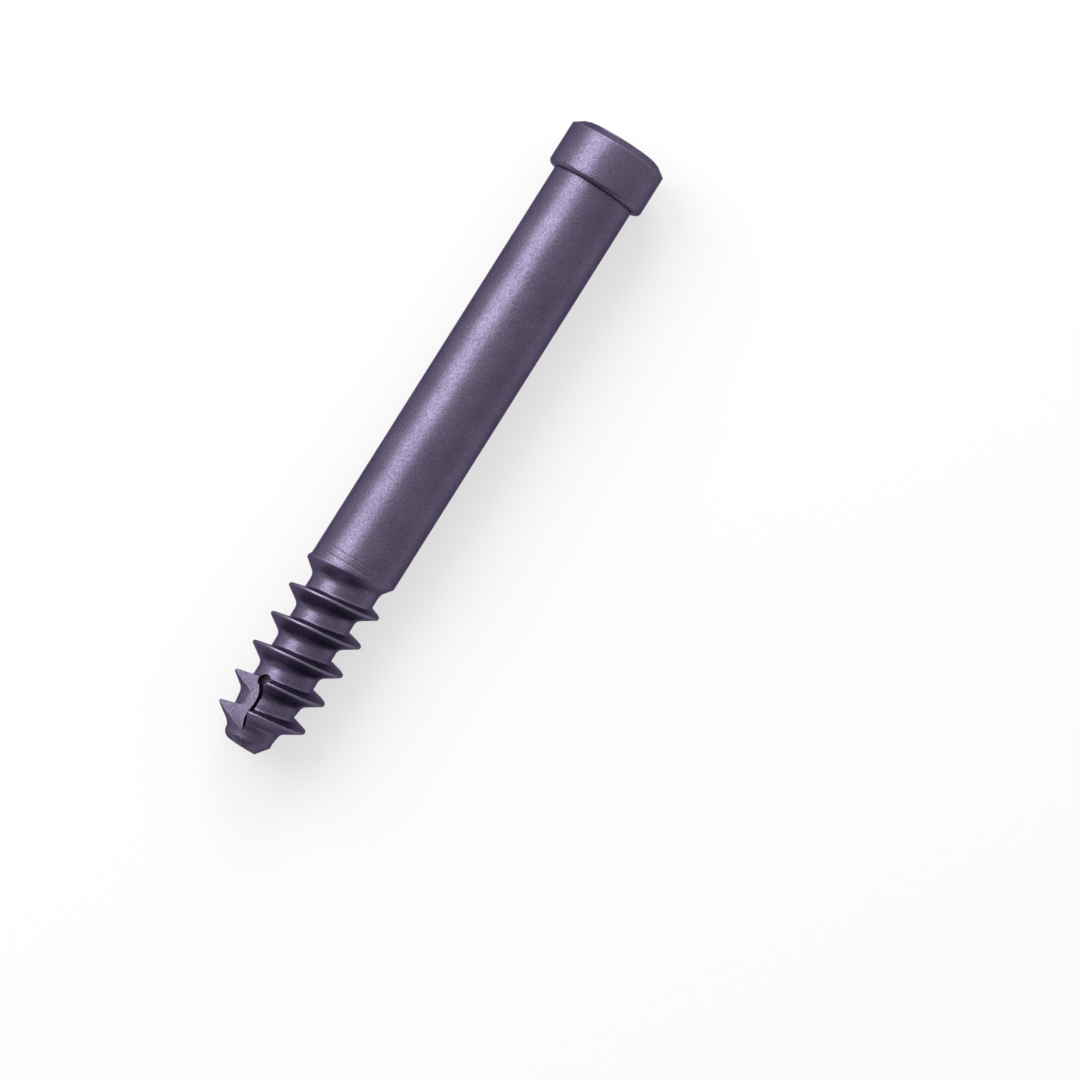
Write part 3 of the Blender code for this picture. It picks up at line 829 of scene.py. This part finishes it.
# %% Hand over the screw
SHARP_ANGLE = radians(20)
screw.data.shade_smooth()
screw.data.set_sharp_from_angle(angle=SHARP_ANGLE)
print("bone screw:", len(screw.data.polygons), "faces, materials:", [m.name for m in screw.data.materials])
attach(screw, "root")
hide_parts("bone_screw")

# %% [markdown]
# ## Table
# The screw lies on a sheet of white card. Plain card would need strong lamps to look white. Most of its
# shade is therefore a glow that only the camera and mirror-like reflections see, so it spreads no light
# of its own over the table. The other part is ordinary card, so the screw's soft shadow stays.

# %% White card
CARD_SIZE = 2.0
CARD_COLOR = (0.68, 0.68, 0.68, 1.0)
CARD_ROUGHNESS = 0.9
CARD_GLOW = 0.6
WHITE = (1.0, 1.0, 1.0, 1.0)


def card():
    """The card's material: part glow, part plain card."""
    sheet = bpy.data.materials.new("white_card")
    sheet.use_nodes = True
    n = Nodes(sheet.node_tree)
    shader = sheet.node_tree.nodes["Principled BSDF"]
    shader.inputs["Base Color"].default_value = CARD_COLOR
    shader.inputs["Roughness"].default_value = CARD_ROUGHNESS
    path = n.add("ShaderNodeLightPath").outputs
    seen = n.total(path["Is Camera Ray"], path["Is Glossy Ray"], path["Is Transmission Ray"])
    white = n.add("ShaderNodeEmission", {"Color": WHITE, "Strength": 1.0}).outputs[0]
    fade = n.product(n.math("MINIMUM", seen, 1.0), CARD_GLOW)
    mixed = n.add("ShaderNodeMixShader", {0: fade, 1: shader.outputs[0], 2: white})
    n.wire(mixed.outputs[0], sheet.node_tree.nodes["Material Output"].inputs["Surface"])
    return sheet


bpy.ops.mesh.primitive_plane_add(size=CARD_SIZE, location=(0.0, 0.0, 0.0))
floor = bpy.context.object
floor.name = "floor"
floor.data.materials.append(card())
print("card:", [round(side, 2) for side in floor.dimensions], "m")

# %% [markdown]
# ## Lamps
# One wide soft box to the left of the screw gives the long soft streak, and a smaller one past the head
# lights the flanks that face it. Lamps on all sides would make the thread look flat.

# %% Soft boxes
KEY = {"place": (0.04, 0.275, 0.255), "size": 0.32, "power": 1.10}
HEAD_SIDE = {"place": (0.26, 0.12, 0.20), "size": 0.16, "power": 0.50}


def soft_box(name, place, size, power):
    """A round soft lamp that faces the middle of the table. Sizes are in metres, power in watts."""
    lamp = bpy.data.lights.new(name, "AREA")
    lamp.shape = "DISK"
    lamp.size = size
    lamp.energy = power
    made = bpy.data.objects.new(name, lamp)
    bpy.context.scene.collection.objects.link(made)
    made.location = place
    made.rotation_euler = (-Vector(place)).to_track_quat("-Z", "Y").to_euler()
    print(name, "lamp:", size, "m wide,", power, "W")


soft_box("key", **KEY)
soft_box("head_side", **HEAD_SIDE)

# %% [markdown]
# ## The room
# Metal shows what stands round it, so the room is part of the light. It is brighter to the left and past
# the head and darker beyond the tip, which keeps the flanks that face the tip deep in tone. A low pale
# cove closes the horizon, so that the table stands before white from every side.

# %% The room's walls and cove
WALL_REACH = 0.9
RIGHT_WALL, LEFT_WALL = 0.72, 1.12
TIP_WALL, HEAD_WALL = 0.18, 1.62
COVE_RANGE = (0.10, 0.22)
COVE_LIGHT = 0.90


def room_light(room):
    """Wires the strength of the room's light to the direction that it comes from."""
    n = Nodes(room.node_tree)
    direction = n.add("ShaderNodeTexCoord").outputs["Generated"]
    toward = n.add("ShaderNodeSeparateXYZ", {0: direction}).outputs
    sides = n.ramp(toward["Y"], -WALL_REACH, WALL_REACH, RIGHT_WALL, LEFT_WALL)
    ends = n.ramp(toward["X"], -WALL_REACH, WALL_REACH, TIP_WALL, HEAD_WALL)
    cove = n.ramp(toward["Z"], *COVE_RANGE, COVE_LIGHT, 0.0)
    background = room.node_tree.nodes["Background"]
    background.inputs["Color"].default_value = WHITE
    n.wire(n.math("MAXIMUM", n.product(sides, ends), cove), background.inputs["Strength"])


room = bpy.data.worlds.new("room")
bpy.context.scene.world = room
room.use_nodes = True
room_light(room)
print("room: walls from", TIP_WALL, "to", HEAD_WALL, "and a cove of", COVE_LIGHT)

# %% [markdown]
# ## Camera
# The camera looks almost straight down on the screw, from far enough to keep its sides nearly parallel.
# It is turned so that the head points up and to the right. A tilted camera would shorten the shank.

# %% Camera over the screw
SENSOR_WIDTH = 36.0
FAR_CLIP = 10.0
CAMERA_PLACE = Vector((-13.4, -12.0, 384.3)) * MM
CAMERA_AIM = Vector((-1.9993, -11.927, 4.3)) * MM
PICTURE_UP = radians(32.15)
LENS = 150.6


def camera_over(place, aim, up_angle, lens):
    """A camera that looks from one place to another, with the picture's up turned by an angle."""
    data = bpy.data.cameras.new("camera")
    data.lens = lens
    data.sensor_width = SENSOR_WIDTH
    data.clip_end = FAR_CLIP
    made = bpy.data.objects.new("camera", data)
    bpy.context.scene.collection.objects.link(made)
    back = (place - aim).normalized()
    right = Vector((cos(up_angle), sin(up_angle), 0.0)).cross(back).normalized()
    turn = Matrix((right, back.cross(right), back)).transposed()
    made.matrix_world = Matrix.Translation(place) @ turn.to_4x4()
    bpy.context.scene.camera = made
    print("camera:", round((place - aim).length / MM), "mm away, lens", lens, "mm")


camera_over(CAMERA_PLACE, CAMERA_AIM, PICTURE_UP, LENS)
bpy.context.scene.view_settings.view_transform = "Standard"
